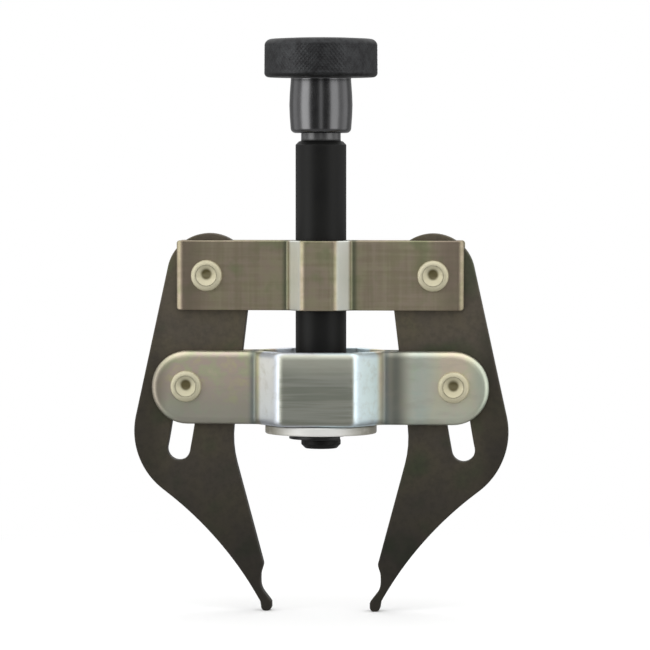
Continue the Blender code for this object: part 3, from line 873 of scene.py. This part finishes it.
# --- Lower rivets and bushes --------------------------------------------------------------
# The same rivets and bushes, through the lower straps. They slide in the arms' slots and
# swing the arms shut as the lower straps go down.

rivets_and_bushes("lower")


# --- Swivel block -------------------------------------------------------------------------
# A milled steel block that fills the two lower humps. The screw's shoulder bears on it, and
# its stub turns in the block's bore.

def softened(name, node, material, radius):
    """A flat piece from its CAD triangles, joined up and with its sharp edges rounded."""
    work = bmesh.new()
    work.from_mesh(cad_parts[node].data)
    bmesh.ops.remove_doubles(work, verts=work.verts, dist=1e-6)
    bmesh.ops.dissolve_limit(work, angle_limit=radians(0.3), verts=work.verts,
                             edges=work.edges)
    piece = add_piece(name, mesh_from(name, work), material)
    edge = piece.modifiers.new("rounded edges", "BEVEL")
    edge.width = radius
    edge.segments = 3
    edge.limit_method = "ANGLE"
    edge.angle_limit = SHARP
    edge.use_clamp_overlap = False
    edge.harden_normals = True
    return kept(piece, edge)


SHARP = radians(32)
block_steel = machined_finish("milled block steel", paint(120, 118, 114), 0.35)
block = softened("milled_swivel_block", "swivel_block", block_steel, 0.25 * MM)
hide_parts("swivel_block")
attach(block, "lower_crossbar")


# --- Screw --------------------------------------------------------------------------------
# A blackened steel screw with a fine right-hand thread, a plain neck for the knob above,
# and a plain stub with the clip's groove below.

def on_turned_piece(graph):
    """Each point's height on a turned piece, its angle about the axis, and its place aside."""
    place = graph.node("GeometryNodeInputPosition")
    x, y, z = graph.axes(place)
    return z, graph.number("ARCTAN2", y, x), graph.vector("MULTIPLY", place, (1, 1, 0))


def pressed_in(graph, start, aside, groove, mask):
    """Press a groove into a turned piece by the tree's depth, and end the tree."""
    sunk = (0.0 - graph.also(start, "Depth")) * groove * mask
    offset = graph.scaled(graph.vector("NORMALIZE", aside), sunk)
    shape = graph.node("GeometryNodeSetPosition", None,
                       {"Geometry": start, "Offset": offset})
    return finish_tree(graph, start, shape)


def thread_tree():
    """Press a helical groove into a turned bar between two heights."""
    inputs = {"Pitch": "Float", "Depth": "Float", "Low": "Float", "High": "Float",
              "Reach": "Float", "Finish": "Material"}
    graph, start = shape_tree("fine thread", inputs)
    low, high, reach = (graph.also(start, label) for label in ("Low", "High", "Reach"))
    z, angle, aside = on_turned_piece(graph)
    turns = z / graph.also(start, "Pitch") - angle / tau
    groove = graph.between(abs(2.0 * graph.number("FRACT", turns) - 1.0), 0.15, 1.0)
    fade = graph.between(z, low, low + reach) * graph.between(z, high - reach, high, 1.0, 0.0)
    return pressed_in(graph, start, aside, groove, fade)


def divided(profile, low, high, longest):
    """Split a profile's long upright stretches between two heights."""
    points = [profile[0]]
    for before, point in zip(profile, profile[1:]):
        inside = low <= min(before[1], point[1]) and max(before[1], point[1]) <= high
        parts = ceil(abs(point[1] - before[1]) / longest) if inside else 1
        for i in range(1, parts + 1):
            points.append(tuple(before[k] + (point[k] - before[k]) * i / parts
                                for k in (0, 1)))
    return points


def screw_finish(neck):
    """Black oxide that is matt on the thread and polished on the neck above a height."""
    material, graph, shader, place = new_finish("screw black oxide", metallic=0.6)
    polished = graph.between(graph.axes(place)[2], neck, neck + 0.6 * MM)
    grain = noise(graph, place, 1100.0, 2.0, 0.55)
    cloud = noise(graph, place, 160.0, 2.0, 0.5)
    shade = graph.mix(cloud, paint(12, 12, 12), paint(24, 24, 22))
    shade = graph.mix(polished, shade, paint(90, 90, 90))
    feed(graph, shader, Base_Color=shade,
         Roughness=0.44 + 0.14 * cloud - 0.24 * polished,
         Normal=bumped(graph, grain, depth=0.02 * MM))
    return material


PITCH = 0.75 * MM
THREAD_DEPTH = 0.2 * MM
RUN_OUT = 1.5 * MM
SCREW_RADIUS = 5.0 * MM
NECK_RADIUS = 3.9 * MM
SHOULDER_Z = 49.7 * MM
THREAD_TOP = 92.8 * MM
TOP_CHAMFER = 0.7 * MM
END_CHAMFER = 0.8 * MM
GROOVE_RADIUS = 3.3 * MM
GROOVE_LOW = 34.0 * MM
GROOVE_TOP = 35.2 * MM
SCREW_SIDES = 64
screw_black = screw_finish(THREAD_TOP)
low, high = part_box("screw")
corners = [
    (0.0, high.z), (NECK_RADIUS, high.z), (NECK_RADIUS, THREAD_TOP),
    (SCREW_RADIUS - TOP_CHAMFER, THREAD_TOP), (SCREW_RADIUS, THREAD_TOP - TOP_CHAMFER),
    (SCREW_RADIUS, SHOULDER_Z), (NECK_RADIUS, SHOULDER_Z), (NECK_RADIUS, GROOVE_TOP),
    (GROOVE_RADIUS, GROOVE_TOP), (GROOVE_RADIUS, GROOVE_LOW), (NECK_RADIUS, GROOVE_LOW),
    (NECK_RADIUS, low.z + END_CHAMFER), (NECK_RADIUS - END_CHAMFER, low.z), (0.0, low.z),
]
radii = [0.2 * MM, 0.25 * MM, 0.1 * MM, 0.2 * MM] + [0.1 * MM] * 6 + [0.2 * MM, 0.2 * MM]
profile = divided(bent_line(corners, radii, radians(20), 0.1 * MM), SHOULDER_Z + 0.3 * MM,
                  THREAD_TOP - 0.9 * MM, PITCH / 8)
screw = turned("threaded_screw", profile, SCREW_SIDES, screw_black)
formed(screw, thread_tree(), {"Pitch": PITCH, "Depth": THREAD_DEPTH,
                              "Low": SHOULDER_Z + 0.5 * MM,
                              "High": THREAD_TOP - 1.2 * MM, "Reach": RUN_OUT,
                              "Finish": screw_black})
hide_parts("screw")
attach(screw, "screw")


# --- Thrust washer ------------------------------------------------------------------------
# A thick bright washer on the stub, between the lower humps and the clip.

def washer_painted_side_shade(graph, place):
    """How much painted shade the washer gets: only toward its two sides, where its round side
    faces away and would reflect the darker room behind.
    """
    return graph.between(abs(graph.axes(place)[0]), 2.5 * MM, 10.2 * MM, 0.0, 0.7)


WASHER_BORE = 4.2 * MM
WASHER_RADII = [0.15 * MM, 0.3 * MM, 0.3 * MM, 0.15 * MM]
WASHER_SIDES = 96
washer_zinc = plated_finish("washer zinc", [paint(216, 216, 212), paint(228, 228, 224)],
                            0.42, paint(214, 212, 206), metallic=0.35, painted_shade=washer_painted_side_shade)
low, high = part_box("thrust_washer")
outer, middle = (high.x - low.x) / 2, (low.z + high.z) / 2
corners = [(WASHER_BORE, middle), (WASHER_BORE, high.z), (outer, high.z), (outer, low.z),
           (WASHER_BORE, low.z), (WASHER_BORE, middle - 0.05 * MM)]
profile = bent_line(corners, WASHER_RADII, radians(22), 0.1 * MM)
washer = turned("turned_washer", profile, WASHER_SIDES, washer_zinc, closed=True)
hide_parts("thrust_washer")
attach(washer, "lower_crossbar")


# --- Retaining clip -----------------------------------------------------------------------
# A black spring-steel clip, pushed from the side into the stub's groove under the washer.

def clip_finish():
    """Black oxide with oil: nearly black, with a satin shine and a slight grain."""
    material, graph, shader, place = new_finish("clip black oxide", metallic=0.4)
    grain = noise(graph, place, 1200.0, 2.0, 0.55)
    cloud = noise(graph, place, 160.0, 2.0, 0.5)
    shade = graph.mix(graph.between(cloud, 0.3, 0.7, 0.0, 0.4), paint(24, 24, 24),
                      paint(44, 44, 42))
    feed(graph, shader, Base_Color=shade, Roughness=0.3 + 0.12 * cloud,
         Normal=bumped(graph, grain, depth=0.02 * MM))
    return material


clip = softened("spring_clip", "retaining_clip", clip_finish(), 0.12 * MM)
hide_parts("retaining_clip")
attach(clip, "screw")


# --- Knob ---------------------------------------------------------------------------------
# A black thumb knob: a disc with a fine, shallow knurl on its rim, over a polished collar
# that swells in the middle. It is pressed on the screw's neck.

def knurl_tree():
    """Press a diamond knurl into the rim of a turned disc between two heights."""
    inputs = {"Diamonds": "Float", "Rise": "Float", "Depth": "Float", "Low": "Float",
              "High": "Float", "Rim": "Float", "Finish": "Material"}
    graph, start = shape_tree("diamond knurl", inputs)
    low, high, rim = (graph.also(start, label) for label in ("Low", "High", "Rim"))
    z, angle, aside = on_turned_piece(graph)
    around = angle * graph.also(start, "Diamonds") / tau
    up = z / graph.also(start, "Rise")
    groove = graph.number("MAXIMUM", *[abs(2.0 * graph.number("FRACT", slant) - 1.0)
                                       for slant in (around + up, around - up)])
    radius = graph.vector("LENGTH", aside, output="Value")
    edge = 0.4 * MM
    mask = graph.between(z, low, low + edge) * graph.between(z, high - edge, high, 1.0, 0.0)
    mask = mask * graph.between(radius, rim - edge, rim - 0.05 * MM)
    return pressed_in(graph, start, aside, groove, mask)


def knob_finish(disc_low):
    """Black nickel: polished on the collar, and matt and mottled on the disc above."""
    material, graph, shader, place = new_finish("knob black nickel", metallic=1.0)
    disc = graph.between(graph.axes(place)[2], disc_low - 0.3 * MM, disc_low + 0.1 * MM)
    mottle = noise(graph, place, 650.0, 3.0, 0.65)
    matt = graph.mix(graph.between(mottle, 0.3, 0.7), paint(53, 53, 54), paint(68, 69, 70))
    smooth = graph.mix(mottle, paint(94, 94, 95), paint(106, 106, 107))
    shade = graph.mix(disc, smooth, matt)
    feed(graph, shader, Base_Color=shade, Roughness=0.17 + 0.08 * mottle + 0.3 * disc,
         Normal=bumped(graph, mottle * (0.1 + 0.9 * disc), 0.35, 0.08 * MM))
    return material


DISC_LOW = 105.35 * MM
COLLAR_END = 5.9 * MM
COLLAR_MIDDLE = 6.3 * MM
KNOB_BORE = 4.1 * MM
BORE_TOP = 103.6 * MM
# At each of the profile's corners, from the top face down to the bore
KNOB_RADII = [8.0 * MM, 1.4 * MM, 0.9 * MM, 0.35 * MM, 30.0 * MM, 1.0 * MM, 0.2 * MM,
              0.2 * MM]
DIAMONDS = 88
KNOB_SIDES = 7 * DIAMONDS
KNURL_RISE = 0.95 * MM
KNURL_DEPTH = 0.07 * MM
KNURL_STEP = 0.12 * MM
low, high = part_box("knob")
rim = (high.x - low.x) / 2
knob_black = knob_finish(DISC_LOW)
corners = [
    (0.0, high.z), (rim * 0.55, high.z - 0.05 * MM), (rim - 0.05 * MM, high.z - 0.3 * MM),
    (rim, DISC_LOW), (COLLAR_END, DISC_LOW), (COLLAR_MIDDLE, (DISC_LOW + low.z) / 2),
    (COLLAR_END, low.z), (KNOB_BORE, low.z), (KNOB_BORE, BORE_TOP), (0.0, BORE_TOP),
]
profile = divided(bent_line(corners, KNOB_RADII, radians(11), 0.15 * MM),
                  DISC_LOW + 0.5 * MM, high.z - 0.9 * MM, KNURL_STEP)
knob = turned("knurled_knob", profile, KNOB_SIDES, knob_black)
formed(knob, knurl_tree(), {"Diamonds": float(DIAMONDS), "Rise": KNURL_RISE,
                            "Depth": KNURL_DEPTH, "Low": DISC_LOW + 0.7 * MM,
                            "High": high.z - 1.2 * MM, "Rim": rim, "Finish": knob_black})
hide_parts("knob")
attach(knob, "screw")


# --- Studio -------------------------------------------------------------------------------
# A pale floor under the finger tips and a white surround. The steel sees two tall softboxes
# before the tool, to its left and right, paler walls beside it and a bright ceiling.

def studio_floor(height):
    """A wide pale disc that fades to plain white at its rim."""
    material, graph, shader, place = new_finish("studio floor", metallic=0.0, specular=0.1)
    shader.inputs["Base Color"].default_value = (0.97, 0.97, 0.97, 1.0)
    shader.inputs["Roughness"].default_value = 0.9
    spread = graph.vector("LENGTH", place, output="Value")
    white = graph.node("ShaderNodeEmission", None, {"Color": (1, 1, 1, 1), "Strength": 1.0})
    output = material.node_tree.nodes["Material Output"]
    matt = Link(graph, shader.outputs[0])
    mixed = graph.node("ShaderNodeMixShader", None,
                       {0: graph.between(spread, 0.03, 0.16), 1: matt, 2: white})
    graph.tree.links.new(mixed.socket, output.inputs["Surface"])
    work = bmesh.new()
    bmesh.ops.create_circle(work, cap_ends=True, radius=FLOOR_RADIUS, segments=96)
    mesh = bpy.data.meshes.new("floor")
    work.to_mesh(mesh)
    work.free()
    floor = add_piece("floor", mesh, material, smooth=False)
    floor.location.z = height
    floor.visible_glossy = False
    return floor


def studio_world(round_about):
    """White to the camera, even to matt surfaces, and softboxes to shiny ones.

    The list gives degrees from the front, to the right if positive, and a strength.
    """
    world = bpy.data.worlds.new("studio")
    world.use_nodes = True
    graph = Graph(world.node_tree)
    direction = graph.node("ShaderNodeTexCoord", output="Generated")
    x, y, z = graph.axes(direction)
    angle = graph.number("ARCTAN2", x, 0.0 - y)
    walls = shaded(graph, 0.5 + angle / tau,
                   [(0.5 + degrees / 360, strength) for degrees, strength in round_about])
    above = graph.between(z, 0.22, 0.55)
    below = graph.between(z, -0.6, -0.2, 1.0, 0.0)
    shiny = walls * (1.0 - above) * (1.0 - below) + CEILING * above + GROUND * below
    seen = graph.node("ShaderNodeLightPath", output="Is Camera Ray")
    matt = graph.also(seen, "Is Diffuse Ray")
    strength = shiny * (1.0 - seen) * (1.0 - matt) + 1.0 * seen + EVEN * matt
    surround = world.node_tree.nodes["Background"]
    surround.inputs["Color"].default_value = (1.0, 1.0, 1.0, 1.0)
    graph.tree.links.new(strength.socket, surround.inputs["Strength"])
    bpy.context.scene.world = world


FLOOR_RADIUS = 4.0
# How bright the ceiling and the ground are to shiny surfaces, and all of it to matt ones
CEILING = 1.45
GROUND = 0.38
EVEN = 1.15
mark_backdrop(studio_floor(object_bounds()[0].z))
studio_world([
    (-180, 0.35), (-124, 0.35), (-114, 0.95), (-98, 1.0), (-88, 0.65), (-75, 0.75),
    (-69, 2.5), (-43, 2.5), (-36, 0.3), (-24, 0.12), (-7, 0.12), (-1, 0.3), (2, 0.85),
    (8, 0.85), (13, 0.12), (28, 0.12), (38, 0.3), (44, 1.8), (69, 1.8), (75, 0.75),
    (88, 0.65), (98, 1.05), (114, 1.15), (124, 0.35), (180, 0.35)])

TARGET = Vector((0.8 * MM, 0.0, 56.6 * MM))
DISTANCE = 0.747
LENS = 209.8
camera_data = bpy.data.cameras.new("camera")
camera_data.sensor_width = 36.0
camera_data.lens = LENS
camera_data.clip_end = 10.0
camera = bpy.data.objects.new("camera", camera_data)
bpy.context.scene.collection.objects.link(camera)
lift, aside = radians(2.6), radians(4.7)
outward = Vector((sin(aside) * cos(lift), -cos(aside) * cos(lift), sin(lift)))
camera.location = TARGET + DISTANCE * outward
camera.rotation_euler = (TARGET - camera.location).to_track_quat("-Z", "Y").to_euler()
bpy.context.scene.camera = camera
bpy.context.scene.view_settings.view_transform = "Standard"
